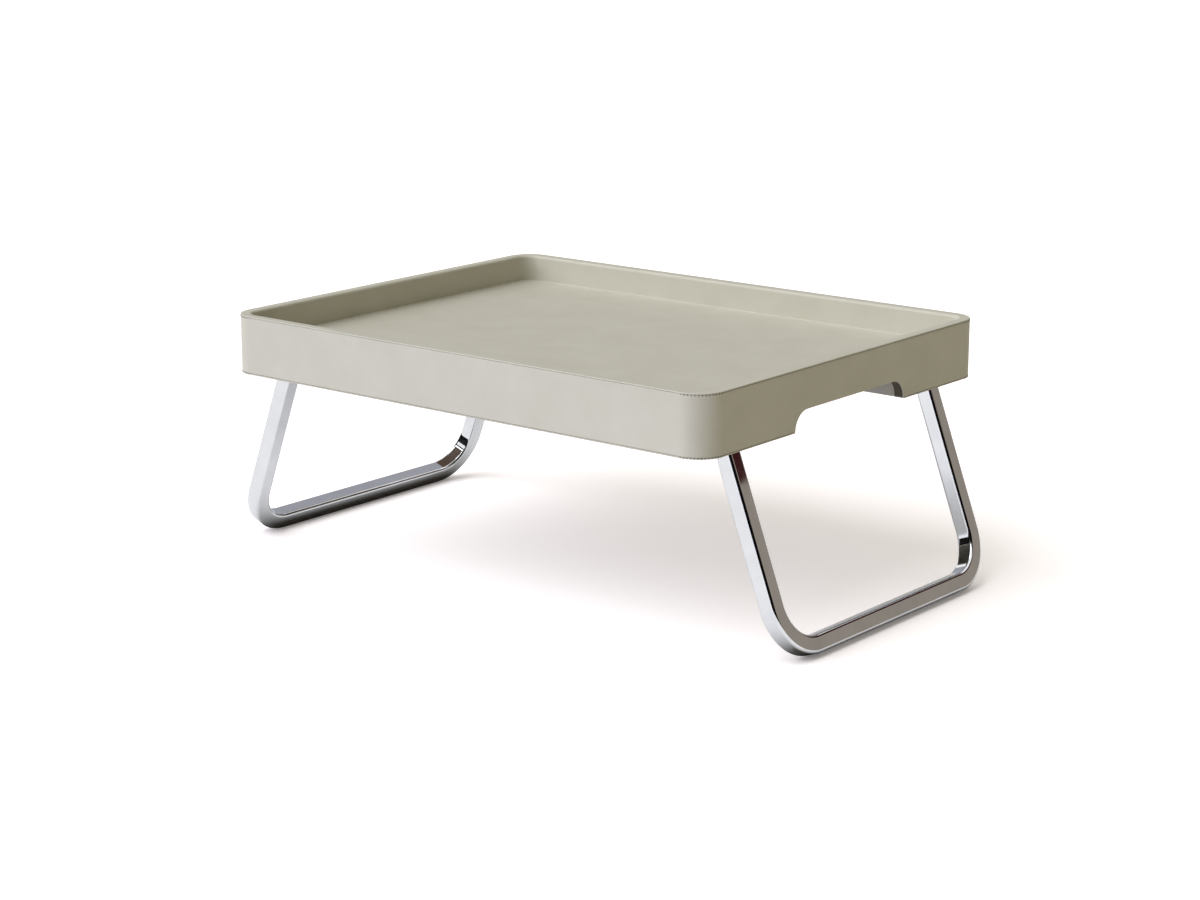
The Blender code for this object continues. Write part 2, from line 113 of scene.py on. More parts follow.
class Depth(Side):
    """The long sides of the tray, by their side across it."""

    FRONT = -1
    BACK = 1


def quarters() -> Iterator[tuple[str, Depth]]:
    """Goes through the four quarters of the tray.

    Returns:
        The quarter's name in the node names and its long side.
    """
    for end in End:
        for depth in Depth:
            yield f"{depth.word}_{end.word}", depth


# Finishes


def linear(code: str) -> Colour:
    """Turns an sRGB hex colour into the linear one that a shader's sockets take.

    Args:
        code: six hex digits.

    Returns:
        Red, green, blue and an alpha of 1.
    """
    channels = [int(code[place : place + 2], 16) / 255 for place in (0, 2, 4)]
    curve = [c / 12.92 if c <= 0.04045 else ((c + 0.055) / 1.055) ** 2.4 for c in channels]
    return curve[0], curve[1], curve[2], 1.0


def add_node(
    tree: Tree,
    kind: str,
    inputs: dict[str | int, object] | None = None,
    settings: dict[str, object] | None = None,
) -> Node:
    """Adds a node with its values, its links and its settings.

    Args:
        tree: the node tree that the node goes into.
        kind: the node's type, without its ShaderNode.
        inputs: for each input a value, a socket to link from, or a node whose first socket is meant.
        settings: the node's own properties.

    Returns:
        The new node.
    """
    node = tree.nodes.new("ShaderNode" + kind)
    for key, value in (settings or {}).items():
        setattr(node, key, value)
    for key, value in (inputs or {}).items():
        if isinstance(value, Node):
            value = value.outputs[0]
        if isinstance(value, Socket):
            tree.links.new(value, node.inputs[key])
        else:
            node.inputs[key].default_value = value
    return node


def mapping(value: Node | Socket, start: float, end: float, low: float, high: float) -> dict[str, object]:
    """The inputs of a node that maps the values from start to end onto those from low to high."""
    return {"Value": value, "From Min": start, "From Max": end, "To Min": low, "To Max": high}


@dataclass(frozen=True)
class Surface:
    """A material in the making: its node tree, its shader and the piece's own coordinates in metres."""

    tree: Tree
    shader: Node
    place: Socket

    def pattern(
        self,
        kind: str,
        size: float,
        output: str = "Fac",
        settings: dict[str, object] | None = None,
        **inputs: object,
    ) -> Socket:
        """Draws a built-in texture on the surface, with features of a size in metres."""
        values = {"Vector": self.place, "Scale": 1 / size, **inputs}
        return add_node(self.tree, "Tex" + kind, values, settings).outputs[output]

    def tint(self, pattern: Node | Socket, low: str, high: str, start: float = 0.3, end: float = 0.7) -> None:
        """Colours the surface by a pattern.

        Args:
            pattern: the pattern.
            low: the colour where it is low.
            high: the colour where it is high.
            start: the pattern's value for the pure low colour.
            end: its value for the pure high colour.
        """
        share = add_node(self.tree, "MapRange", mapping(pattern, start, end, 0, 1))
        inputs = {0: share, 6: linear(low), 7: linear(high)}
        mixed = add_node(self.tree, "Mix", inputs, {"data_type": "RGBA"}).outputs[2]
        self.tree.links.new(mixed, self.shader.inputs["Base Color"])

    def dull(self, pattern: Socket, start: float, end: float, low: float, high: float) -> None:
        """Roughens the surface from low to high where a pattern goes from start to end."""
        mapped = add_node(self.tree, "MapRange", mapping(pattern, start, end, low, high))
        self.tree.links.new(mapped.outputs["Result"], self.shader.inputs["Roughness"])

    def emboss(self, pattern: Socket, strength: float, depth: float, **inputs: object) -> Socket:
        """Raises the surface by a pattern, in its shading.

        Args:
            pattern: the pattern.
            strength: how far the pattern shows.
            depth: its full height, or less than nothing to sink the surface instead.
            inputs: the bump's other values.

        Returns:
            The socket with the new normal.
        """
        values = {"Strength": strength, "Distance": abs(depth), "Height": pattern, **inputs}
        normal = add_node(self.tree, "Bump", values, {"invert": depth < 0}).outputs["Normal"]
        self.tree.links.new(normal, self.shader.inputs["Normal"])
        return normal


@dataclass(frozen=True)
class Finish:
    """A real material and the way its surface was made, with its patterns worked out from sizes in metres."""

    name: str
    colour: str
    roughness: float
    metallic: float = 0.0

    def build(self) -> Material:
        """Makes the material, with the plain values on the shader's own sockets.

        Returns:
            The material.
        """
        material = bpy.data.materials.new(self.name)
        material.use_nodes = True
        tree = material.node_tree
        shader = tree.nodes["Principled BSDF"]
        shader.inputs["Base Color"].default_value = linear(self.colour)
        shader.inputs["Roughness"].default_value = self.roughness
        shader.inputs["Metallic"].default_value = self.metallic
        self.dress(Surface(tree, shader, add_node(tree, "TexCoord").outputs["Object"]))
        return material

    def dress(self, surface: Surface) -> None:
        """Adds the patterns of this finish.

        Args:
            surface: the surface that they go on.
        """
        raise NotImplementedError


@dataclass(frozen=True)
class GrainedLeather(Finish):
    """Corrected cowhide, pigmented and pressed with a fine pebble grain.

    The pigment gives one even greige with a faint cloudiness, and the grain breaks up the gloss.
    """

    pebble: float = 0.0009
    pore: float = 0.00025
    cloud: float = 0.045

    def dress(self, surface: Surface) -> None:
        """Adds the cloudy pigment, the pebbles and the pores between them.

        Args:
            surface: the leather's surface.
        """
        surface.tint(surface.pattern("Noise", self.cloud, Detail=5.0, Roughness=0.62), "C2BFB1", "C8C5B8")
        kind = {"feature": "SMOOTH_F1"}
        pebble = surface.pattern("Voronoi", self.pebble, "Distance", kind, Smoothness=0.5, Randomness=0.9)
        surface.dull(pebble, 0.1, 0.7, self.roughness - 0.04, self.roughness + 0.1)
        pores = surface.emboss(surface.pattern("Noise", self.pore, Detail=2.0), strength=0.25, depth=0.00003)
        surface.emboss(pebble, strength=0.35, depth=-0.00008, Normal=pores)


@dataclass(frozen=True)
class PaintedEdge(Finish):
    """Edge paint brushed on the cut core: dark, satin, with the ripple of two coats over wood fibre."""

    ripple: float = 0.0022

    def dress(self, surface: Surface) -> None:
        """Adds the uneven coats.

        Args:
            surface: the edge's surface.
        """
        coat = surface.pattern("Noise", self.ripple, Detail=4.0)
        surface.tint(coat, "3E352A", "54493A")
        surface.dull(coat, 0.3, 0.7, self.roughness - 0.08, self.roughness + 0.1)
        surface.emboss(coat, strength=0.4, depth=0.0001)


@dataclass(frozen=True)
class WaxedThread(Finish):
    """Twisted polyester thread, waxed: darker than the leather, with a soft shine on each strand."""

    strand: float = 0.0004
    sheen: float = 0.2

    def dress(self, surface: Surface) -> None:
        """Adds the slanting strands, lighter on their crests and darker in the grooves between them, which is
        painted shade.

        Args:
            surface: the thread's surface.
        """
        surface.shader.inputs["Sheen Weight"].default_value = self.sheen
        slanting = {"bands_direction": "DIAGONAL"}
        strand = surface.pattern("Wave", self.strand / WAVE_LENGTH, settings=slanting, Distortion=1.5)
        # Darker in the grooves between the strands and lighter on their crests: painted shade.
        surface.tint(strand, "4A4436", "665F4D", 0.1, 0.9)
        surface.emboss(strand, strength=0.6, depth=0.00008)


@dataclass(frozen=True)
class PolishedChrome(Finish):
    """Bright chromium plate on polished steel tube: a clear mirror, faintly cool, with hardly any haze."""

    metallic: float = 1.0
    haze: float = 0.03

    def dress(self, surface: Surface) -> None:
        """Adds the thin haze that polishing and handling leave.

        Args:
            surface: the plate's surface.
        """
        haze = surface.pattern("Noise", self.haze, Detail=6.0, Roughness=0.6)
        surface.dull(haze, 0.3, 0.75, self.roughness - 0.02, self.roughness + 0.04)
        surface.tint(haze, "EDEFF1", "E2E5E8")


@dataclass(frozen=True)
class NeedledFelt(Finish):
    """Needled wool and polyester felt: matt, with a nap of short crossed fibres.

    A fibre is about 0.03 mm thick, too fine to show, so the nap is drawn 0.4 mm coarse.
    """

    nap: float = 0.0004
    tuft: float = 0.006
    sheen: float = 0.35

    def dress(self, surface: Surface) -> None:
        """Adds the tufts and the nap.

        Args:
            surface: the felt's surface.
        """
        surface.shader.inputs["Sheen Weight"].default_value = self.sheen
        surface.tint(surface.pattern("Noise", self.tuft, Detail=6.0, Roughness=0.7), "2A2521", "3C352F")
        nap = surface.pattern("Noise", self.nap, Detail=3.0, Distortion=1.2)
        surface.emboss(nap, strength=0.7, depth=0.0004)


@dataclass(frozen=True)
class BirchPlywood(Finish):
    """Sanded birch plywood: pale, with thin veneers one on the other and a fine long grain."""

    veneer: float = 0.0015
    grain: float = 0.0008
    grain_stretch: float = 0.06

    def dress(self, surface: Surface) -> None:
        """Adds the veneers and the long grain.

        Args:
            surface: the wood's surface.
        """
        flat = {"bands_direction": "Z"}
        thickness = self.veneer / WAVE_LENGTH
        veneer = surface.pattern("Wave", thickness, settings=flat, Distortion=0.6, Detail=1.0)
        inputs = {"Vector": surface.place, "Scale": (self.grain_stretch, 1.0, 1.0)}
        along = add_node(surface.tree, "Mapping", inputs).outputs["Vector"]
        grain = surface.pattern("Noise", self.grain, Vector=along, Detail=5.0)
        inputs = {0: veneer, 1: grain}
        both = add_node(surface.tree, "Math", inputs, {"operation": "MULTIPLY"})
        surface.tint(both, "D9BC92", "B98F5F", 0.05, 0.6)
        surface.emboss(grain, strength=0.3, depth=0.0001)


@dataclass(frozen=True)
class TurnedMetal(Finish):
    """Small metal parts off a lathe or press, plated or bare: fine tool marks blur the shine."""

    metallic: float = 1.0
    mark: float = 0.0003
    stain: float = 0.0024
    darker: str = "A9ABAD"

    def dress(self, surface: Surface) -> None:
        """Adds the tool marks and a slight tarnish.

        Args:
            surface: the metal's surface.
        """
        surface.tint(surface.pattern("Noise", self.stain, Detail=5.0), self.darker, self.colour)
        mark = surface.pattern("Noise", self.mark, Detail=2.0)
        surface.dull(mark, 0.3, 0.7, self.roughness - 0.06, self.roughness + 0.1)
        surface.emboss(mark, strength=0.2, depth=0.00002)


@dataclass(frozen=True)
class MouldedNylon(Finish):
    """Injection-moulded black nylon from a spark-eroded tool: satin, with a fine even texture."""

    texture: float = 0.0004

    def dress(self, surface: Surface) -> None:
        """Adds the mould's texture.

        Args:
            surface: the nylon's surface.
        """
        spark = surface.pattern("Noise", self.texture, Detail=3.0)
        surface.tint(spark, "1C1C1B", "2B2A28")
        surface.dull(spark, 0.3, 0.7, self.roughness - 0.05, self.roughness + 0.1)
        surface.emboss(spark, strength=0.35, depth=0.00005)


class Workshop:
    """Holds one built material for each slot of the record, and the thread."""

    def __init__(self) -> None:
        """Builds the materials."""
        finishes = {
            Slot.LEATHER: GrainedLeather("grained_leather", "C5C2B4", roughness=0.5),
            Slot.EDGING: PaintedEdge("painted_edge", "483E30", roughness=0.45),
            Slot.PLYWOOD: BirchPlywood("sanded_birch_plywood", "C9A677", roughness=0.6),
            Slot.FELT: NeedledFelt("needled_felt", "322C27", roughness=0.95),
            Slot.CHROME: PolishedChrome("polished_chrome", "E8EAEC", roughness=0.04),
            Slot.STEEL: TurnedMetal("zinc_plated_steel", "C4C8CB", roughness=0.3),
            Slot.BRASS: TurnedMetal("turned_brass", "CFAE62", roughness=0.28, darker="B08E45"),
            Slot.MAGNET: TurnedMetal("nickel_plated_magnet", "D0CDC6", roughness=0.18),
            Slot.NYLON: MouldedNylon("moulded_nylon", "242321", roughness=0.45),
        }
        self.materials = {slot: finish.build() for slot, finish in finishes.items()}
        self.thread = WaxedThread("waxed_thread", "585141", roughness=0.5).build()

    def dress_node(self, node: str, slot: Slot) -> None:
        """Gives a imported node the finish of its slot.

        Args:
            node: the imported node.
            slot: its slot in the record.
        """
        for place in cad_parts[node].material_slots:
            place.material = self.materials[slot]
        LOG.info("dressed %s in %s", node, slot.value)


# Shapes


def arc(centre: Pair, radius: float, start: float, end: float, steps: int) -> Section:
    """Points along an arc round a centre, from one angle to another, both ends included."""
    angles = [start + (end - start) * step / steps for step in range(steps + 1)]
    return [(centre[0] + radius * math.cos(a), centre[1] + radius * math.sin(a)) for a in angles]


def circle(radius: float, sides: int) -> Section:
    """The corners of a polygon on a circle round the origin."""
    return arc((0, 0), radius, 0, 4 * QUARTER, sides)[:-1]


def rounded_section(points: Section, radii: list[float], steps: int = 4, hold: float = 0.00015) -> Section:
    """Rounds the corners of a closed section and holds its flats with a point beside each round.

    Args:
        points: the corners in order.
        radii: a radius for each corner, or zero for a sharp one.
        steps: the number of chords in each round.
        hold: how far beside a round its holding points lie.

    Returns:
        The rounded section.
    """
    made: Section = []
    for index, corner in enumerate(points):
        here = Vector(corner)
        before = (Vector(points[index - 1]) - here).normalized()
        after = (Vector(points[(index + 1) % len(points)]) - here).normalized()
        radius = radii[index]
        if not radius:
            made.append(corner)
            continue
        half = before.angle(after) / 2
        reach = radius / math.tan(half)
        centre = here + (before + after).normalized() * radius / math.sin(half)
        first = here + before * reach - centre
        last = here + after * reach - centre
        made.append(tuple(here + before * (reach + hold)))
        made += [tuple(centre + first.slerp(last, step / steps) * radius) for step in range(steps + 1)]
        made.append(tuple(here + after * (reach + hold)))
    return made


def new_piece(name: str, vertices: Iterable[Vector], faces: Iterable[tuple[int, ...]]) -> Piece:
    """Makes an object from vertices and faces, with its faces turned outward.

    Args:
        name: the piece's name.
        vertices: its vertices.
        faces: its faces, as vertex numbers.

    Returns:
        The new object.
    """
    mesh = bpy.data.meshes.new(name)
    mesh.from_pydata(list(vertices), [], list(faces))
    build = bmesh.new()
    build.from_mesh(mesh)
    bmesh.ops.recalc_face_normals(build, faces=build.faces)
    build.to_mesh(mesh)
    build.free()
    piece = bpy.data.objects.new(name, mesh)
    bpy.context.scene.collection.objects.link(piece)
    return piece


def faces_between(rings: int, sides: int, closed: bool, first: int = 0) -> list[tuple[int, ...]]:
    """Numbers the faces that join rings of vertices into a skin.

    Args:
        rings: the number of rings.
        sides: the number of vertices in each.
        closed: whether the last ring joins the first; otherwise both ends are capped.
        first: the number of the first vertex.

    Returns:
        The faces, as vertex numbers.
    """
    starts = [first + ring * sides for ring in range(rings)]
    joints = list(zip(starts, starts[1:] + starts[:1], strict=True))
    faces: list[tuple[int, ...]] = []
    for here, there in joints if closed else joints[:-1]:
        for side in range(sides):
            beside = (side + 1) % sides
            faces.append((here + side, here + beside, there + beside, there + side))
    if not closed:
        faces += [tuple(range(start, start + sides)) for start in (starts[0], starts[-1])]
    return faces


def loft(name: str, rings: list[list[Vector]], closed: bool) -> Piece:
    """Joins rings of equal count into a solid, capped at both ends unless it closes on itself."""
    points = [point for ring in rings for point in ring]
    return new_piece(name, points, faces_between(len(rings), len(rings[0]), closed))


def turned(name: str, section: Section, sides: int, ring: bool = False) -> Piece:
    """Turns a section round the Z axis, as a lathe does.

    Args:
        name: the piece's name.
        section: radius and height pairs, from one end to the other, or all round for a ring.
        sides: the number of sides.
        ring: whether the section is a closed loop away from the axis.

    Returns:
        The turned solid.
    """
    angles = [4 * QUARTER * side / sides for side in range(sides)]
    if ring:
        rings = [[Vector((r * math.cos(a), r * math.sin(a), z)) for r, z in section] for a in angles]
    else:
        rings = [[Vector((r * math.cos(a), r * math.sin(a), z)) for a in angles] for r, z in section]
    return loft(name, rings, closed=ring)


def prism(name: str, outline: Section, start: float, end: float, place: Matrix) -> Piece:
    """Pushes an outline in its own X and Y along Z from start to end, and puts it in its place."""
    rings = [[place @ Vector((x, y, z)) for x, y in outline] for z in (start, end)]
    return loft(name, rings, closed=False)


def applied(piece: Piece) -> Piece:
    """Turns a piece's modifiers into mesh.

    Args:
        piece: the piece.

    Returns:
        The piece.
    """
    shape = piece.evaluated_get(bpy.context.evaluated_depsgraph_get())
    piece.data = bpy.data.meshes.new_from_object(shape)
    piece.modifiers.clear()
    return piece


def cut(piece: Piece, *cutters: Piece) -> Piece:
    """Takes the cutters out of a piece and clears them away.

    Args:
        piece: the piece.
        cutters: solids that are used up.

    Returns:
        The piece.
    """
    for cutter in cutters:
        tool = piece.modifiers.new("cut", "BOOLEAN")
        tool.operation = "DIFFERENCE"
        tool.solver = "EXACT"
        tool.object = cutter
    applied(piece)
    for cutter in cutters:
        bpy.data.objects.remove(cutter)
    return piece


def soften(piece: Piece, width: float, segments: int = 3, weld: float = 0.000005) -> Piece:
    """Rounds a piece's sharp edges.

    Args:
        piece: the piece.
        width: how far the round reaches from the edge.
        segments: the number of facets in it.
        weld: the distance below which two vertices are one.

    Returns:
        The piece.
    """
    build = bmesh.new()
    build.from_mesh(piece.data)
    bmesh.ops.remove_doubles(build, verts=build.verts, dist=weld)
    bmesh.ops.dissolve_limit(build, angle_limit=math.radians(1), verts=build.verts, edges=build.edges)
    build.to_mesh(piece.data)
    build.free()
    tool = piece.modifiers.new("soften", "BEVEL")
    tool.width = width
    tool.segments = segments
    tool.limit_method = "ANGLE"
    tool.angle_limit = math.radians(30)
    tool.harden_normals = True
    return applied(piece)


def smooth(piece: Piece, angle: float = 35) -> Piece:
    """Shades a piece smoothly and keeps its flats flat.

    Args:
        piece: the piece.
        angle: the angle in degrees from which an edge stays sharp.

    Returns:
        The piece.
    """
    piece.data.polygons.foreach_set("use_smooth", [True] * len(piece.data.polygons))
    piece.data.set_sharp_from_angle(angle=math.radians(angle))
    tool = piece.modifiers.new("flats", "WEIGHTED_NORMAL")
    tool.keep_sharp = True
    return applied(piece)


def copy_of_node(node: str, name: str) -> Piece:
    """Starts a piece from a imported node's own shape.

    Args:
        node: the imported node.
        name: the new piece's name.

    Returns:
        The new piece, in the node's place.
    """
    piece = bpy.data.objects.new(name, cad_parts[node].data.copy())
    piece.data.materials.clear()
    bpy.context.scene.collection.objects.link(piece)
    return piece


# Sub-assemblies


@dataclass
class SubAssembly:
    """Pieces that are made together, and the workshop that finishes them."""

    shop: Workshop

    def fit(
        self,
        piece: Piece,
        body: Body,
        slot: Slot,
        *nodes: str,
        material: Material | None = None,
    ) -> Piece:
        """Finishes a piece and fixes it to its body.

        Args:
            piece: the piece, in its place.
            body: the body that it moves with.
            slot: the record's slot of its finish.
            nodes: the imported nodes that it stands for.
            material: another finish than the slot's own.

        Returns:
            The piece.
        """
        piece.data.materials.clear()
        piece.data.materials.append(material or self.shop.materials[slot])
        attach(piece, body.value)
        if nodes:
            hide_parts(*nodes)
        LOG.info("made %s on %s, %d faces", piece.name, body.value, len(piece.data.polygons))
        return piece

    def build(self) -> None:
        """Builds and fixes every piece of the sub-assembly."""
        raise NotImplementedError


@dataclass
class Outline:
    """The tray's plan outline, as stations that can be moved inward."""

    half_length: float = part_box("rim_leather")[1].x
    half_width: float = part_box("rim_leather")[1].y
    corner: float = 0.028
    corner_steps: int = 28
    straight_step: float = 0.016
    hold: float = 0.0005

    def stations(self) -> list[tuple[Vector, Vector]]:
        """Goes round the outline.

        Returns:
            For each station the centre that its inset is measured towards, and the outward direction.
        """
        long = self.half_length - self.corner
        short = self.half_width - self.corner
        made: list[tuple[Vector, Vector]] = []
        corners = [(long, short), (-long, short), (-long, -short), (long, -short)]
        for turn, centre in enumerate(corners):
            angles = [(turn + step / self.corner_steps) * QUARTER for step in range(self.corner_steps + 1)]
            made += [(Vector((*centre, 0)), Vector((math.cos(a), math.sin(a), 0))) for a in angles]
            there = Vector((*corners[(turn + 1) % 4], 0))
            here, out = made[-1]
            length = (there - here).length
            count = round(length / self.straight_step)
            steps = [step / count for step in range(1, count)]
            shares = [self.hold / length, *steps, 1 - self.hold / length]
            made += [(here.lerp(there, share), out) for share in shares]
        return made

    def ring(self, inset: float, height: float) -> list[Vector]:
        """The outline at an inset and a height."""
        return [c + out * (self.corner - inset) + Vector((0, 0, height)) for c, out in self.stations()]

    def skin(self, name: str, section: Section) -> Piece:
        """Carries a closed section of insets and heights all round the outline."""
        rings_across = zip(*(self.ring(inset, height) for inset, height in section), strict=True)
        return loft(name, [list(ring) for ring in rings_across], closed=True)


@dataclass
class LeatherShell(SubAssembly):
    """The leather: band round the outside, skin over the rim, floor sheet and lining of the skirt."""

    outline: Outline = field(default_factory=Outline)
    thickness: float = 0.0012
    wall: float = 0.012
    edge: float = 0.00055
    inner_edge: float = 0.000275
    rim_round: float = 0.003
    fillet: float = 0.0005
    floor_gap: float = 0.00003
    floor_rings: tuple[float, ...] = (0.013, 0.020, 0.027)
    notch_half: float = 0.092
    notch_height: float = 0.020
    notch_round: float = 0.019
    notch_foot: float = 0.0016
    notch_overrun: float = 0.002
    rows: int = 18
    crease_depth: float = 0.0004
    crease_drop: float = 0.009
    crease_reach: float = 0.007
    crease_turns: float = 21
    crease_slant: float = 620

    def __post_init__(self) -> None:
        """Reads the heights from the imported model."""
        self.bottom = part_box("skirt_lining")[0].z
        self.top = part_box("rim_leather")[1].z
        self.band_low, self.band_high = (corner.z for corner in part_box("outer_leather_band"))
        self.floor_low, self.floor_top = (corner.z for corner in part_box("floor_leather"))
        self.wall_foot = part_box("rim_leather")[0].z
        self.lining_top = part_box("skirt_lining")[1].z

    def build(self) -> None:
        """Makes the four leathers."""
        self.fit(self.band(), Body.TRAY, Slot.LEATHER, "outer_leather_band")
        self.fit(self.rim(), Body.TRAY, Slot.LEATHER, "rim_leather")
        self.fit(self.floor(), Body.TRAY, Slot.LEATHER, "floor_leather")
        self.fit(self.lining(), Body.TRAY, Slot.LEATHER, "skirt_lining")

    def notch_cutters(self) -> list[Piece]:
        """Makes solids in the shape of the handle notches.

        They flare at their feet, so that the leather turns softly there.

        Returns:
            A solid for each end.
        """
        top = self.bottom + self.notch_height
        half, foot, round_ = self.notch_half, self.notch_foot, self.notch_round
        flare = arc((half + foot, self.bottom + foot), foot, 3 * QUARTER, 2 * QUARTER, 5)
        arch = arc((half - round_, top - round_), round_, 0, QUARTER, 20)
        side = [(half + foot, self.bottom - self.notch_overrun), *flare, *arch]
        outline = side + [(-y, z) for y, z in reversed(side)]
        across = Matrix(((0, 0, 1, 0), (1, 0, 0, 0), (0, 1, 0, 0), (0, 0, 0, 1)))
        made = []
        for end in End:
            middle = end.value * (self.outline.half_length - self.wall / 2)
            made.append(prism(f"{end.word}_notch", outline, middle - self.wall, middle + self.wall, across))
        return made

    def band(self) -> Piece:
        """Makes the outer band, gathered very slightly under the top seam where it turns the corners.

        Returns:
            The band.
        """
        low, high, thick = self.band_low, self.band_high, self.thickness
        corners = [(0.0, high), (thick, high), (thick, low), (0.0, low)]
        section = rounded_section(corners, [self.edge, 0, 0, self.edge])
        section += [(0.0, low + (high - low) * row / self.rows) for row in range(1, self.rows)]
        band = self.outline.skin("outer_leather_band_skin", section)
        self.gather(band)
        return smooth(cut(band, *self.notch_cutters()))

    def gather(self, band: Piece) -> None:
        """Presses the faint slanting creases of the turned corners into the band's outer face.

        Args:
            band: the band.
        """
        long = self.outline.half_length - self.outline.corner
        short = self.outline.half_width - self.outline.corner
        for vertex in band.data.vertices:
            across = Vector((abs(vertex.co.x) - long, abs(vertex.co.y) - short, 0))
            if across.x <= 0 or across.y <= 0 or across.length < self.outline.corner - self.thickness / 2:
                continue
            below = self.band_high - vertex.co.z
            turn = math.atan2(across.y, across.x)
            fade = math.sin(2 * turn) ** 2 * math.exp(-((below - self.crease_drop) / self.crease_reach) ** 2)
            ripple = 0.5 + 0.5 * math.sin(turn * self.crease_turns + below * self.crease_slant)
            push = across.normalized() * self.crease_depth * fade * ripple
            vertex.co.x -= math.copysign(push.x, vertex.co.x)
            vertex.co.y -= math.copysign(push.y, vertex.co.y)

    def turned_section(self, start: float, end: float, inward: float) -> Section:
        """Draws the section of a leather that lies on an edge of the wall and turns along its inner side.

        Args:
            start: the height of the outer face on the edge.
            end: the height that the leather reaches on the inner side.
            inward: the way from the outer face through the leather.

        Returns:
            The section's corners in order.
        """
        wall, hidden, inside = self.wall, self.wall - self.thickness, start + inward
        return [(0.0, start), (wall, start), (wall, end), (hidden, end), (hidden, inside), (0.0, inside)]

    def rim(self) -> Piece:
        """Makes the skin over the rim, rolled over its inner edge and down the inner wall.

        Returns:
            The skin.
        """
        corners = self.turned_section(self.top, self.wall_foot, -self.thickness)
        radii = [self.edge, self.rim_round, 0, 0, self.rim_round - self.thickness, self.inner_edge]
        return smooth(self.outline.skin("rim_leather_skin", rounded_section(corners, radii, steps=8)))

    def floor(self) -> Piece:
        """Makes the floor sheet, turned up in a small fillet against the wall.

        Returns:
            The sheet.
        """
        inset = self.wall + self.floor_gap
        middle = (inset + self.fillet, self.floor_top + self.fillet)
        section = [(inset, self.floor_low), *arc(middle, self.fillet, 2 * QUARTER, 3 * QUARTER, 6)]
        section += [(ring, self.floor_top) for ring in self.floor_rings]
        rings = [self.outline.ring(*point) for point in section]
        return smooth(loft("floor_leather_sheet", rings, closed=False))

    def lining(self) -> Piece:
        """Makes the lining of the skirt, with the turn under its lower edge.

        Returns:
            The lining.
        """
        corners = self.turned_section(self.bottom, self.lining_top, self.thickness)
        radii = [self.edge, self.edge, 0, 0, 0, self.inner_edge]
        lining = self.outline.skin("skirt_lining_skin", rounded_section(corners, radii))
        return smooth(cut(lining, *self.notch_cutters()))


@dataclass(frozen=True)
class Stitch:
    """The form of a stitch: its length, its climb along the seam, its height out of it and its drop."""

    length: float
    slant: float
    proud: float
    drop: float = 0.0


@dataclass
class Seams(SubAssembly):
    """The saddle stitching that joins the band to the rim skin and to the turned-under lining.

    Round the corners the stitches stand across the seam. Along the long sides they lie sunk in it.
    """

    shell: LeatherShell
    pitch: float = 0.0033
    thread: float = 0.0005
    sides: int = 6
    straight: Stitch = Stitch(length=0.0025, slant=0.16, proud=0.00014)
    corner: Stitch = Stitch(length=0.0024, slant=1.7, proud=0.0003, drop=0.0005)
    sunk: float = 0.0005
    straight_share: float = 0.9999
    sharp_from: float = 80
    notch_gap: float = 0.003

    def build(self) -> None:
        """Sews the upper and the lower seam."""
        shell = self.shell
        upper = (shell.band_high + shell.top - shell.thickness) / 2
        lower = (shell.band_low + shell.bottom + shell.thickness) / 2
        self.sew("upper_seam_stitches", upper, 0.0)
        self.sew("lower_seam_stitches", lower, shell.notch_half + self.notch_gap)

    def sew(self, name: str, height: float, open_half: float) -> None:
        """Lays one row of stitches along a seam.

        Args:
            name: the piece's name.
            height: the seam's height.
            open_half: half the length that is left open at each end of the tray.
        """
        outline = self.shell.outline
        path = outline.ring(self.thread - self.straight.proud, height)
        chords = list(zip(path, path[1:] + path[:1], strict=True))
        total = sum((stop - start).length for start, stop in chords)
        count = round(total / self.pitch)
        vertices: list[Vector] = []
        faces: list[tuple[int, ...]] = []
        index, passed = 0, 0.0
        for number in range(count):
            reach = (number + 0.5) * total / count
            while passed + (chords[index][1] - chords[index][0]).length < reach:
                passed += (chords[index][1] - chords[index][0]).length
                index += 1
            start, stop = chords[index]
            place = start.lerp(stop, (reach - passed) / (stop - start).length)
            if abs(place.y) < open_half and abs(place.x) > outline.half_length - self.shell.wall:
                continue
            along = (stop - start).normalized()
            stitch, out = self.straight, along.cross(Vector((0, 0, 1)))
            if max(abs(along.x), abs(along.y)) < self.straight_share:
                stitch = self.corner
                place += out * (self.corner.proud - self.straight.proud) - Vector((0, 0, self.corner.drop))
            elif abs(along.x) > abs(along.y):
                place -= out * self.sunk
            rings = self.thread_rings(place, along, stitch)
            faces += faces_between(len(rings), self.sides, False, len(vertices))
            vertices += [point for ring in rings for point in ring]
        row = smooth(new_piece(name, vertices, faces), self.sharp_from)
        self.fit(row, Body.TRAY, Slot.LEATHER, material=self.shop.thread)

    def thread_rings(self, place: Vector, along: Vector, stitch: Stitch) -> list[list[Vector]]:
        """Draws one stitch, a short thread that thins and dips at both ends.

        Args:
            place: the stitch's middle.
            along: the seam's direction.
            stitch: its form.

        Returns:
            Rings of points along the thread.
        """
        up = Vector((0, 0, 1))
        out = along.cross(up)
        run = (along + up * stitch.slant).normalized()
        side = run.cross(out)
        angles = [4 * QUARTER * step / self.sides for step in range(self.sides)]
        rise = [(-0.5, 0.35, -0.9), (-0.36, 0.9, -0.3), (0.0, 1.0, 0.0)]
        made = []
        for share, width, dip in rise + [(-share, width, dip) for share, width, dip in rise[1::-1]]:
            middle = place + run * share * stitch.length + out * dip * self.thread
            spokes = [out * math.cos(angle) + side * math.sin(angle) for angle in angles]
            made.append([middle + spoke * self.thread * width for spoke in spokes])
        return made


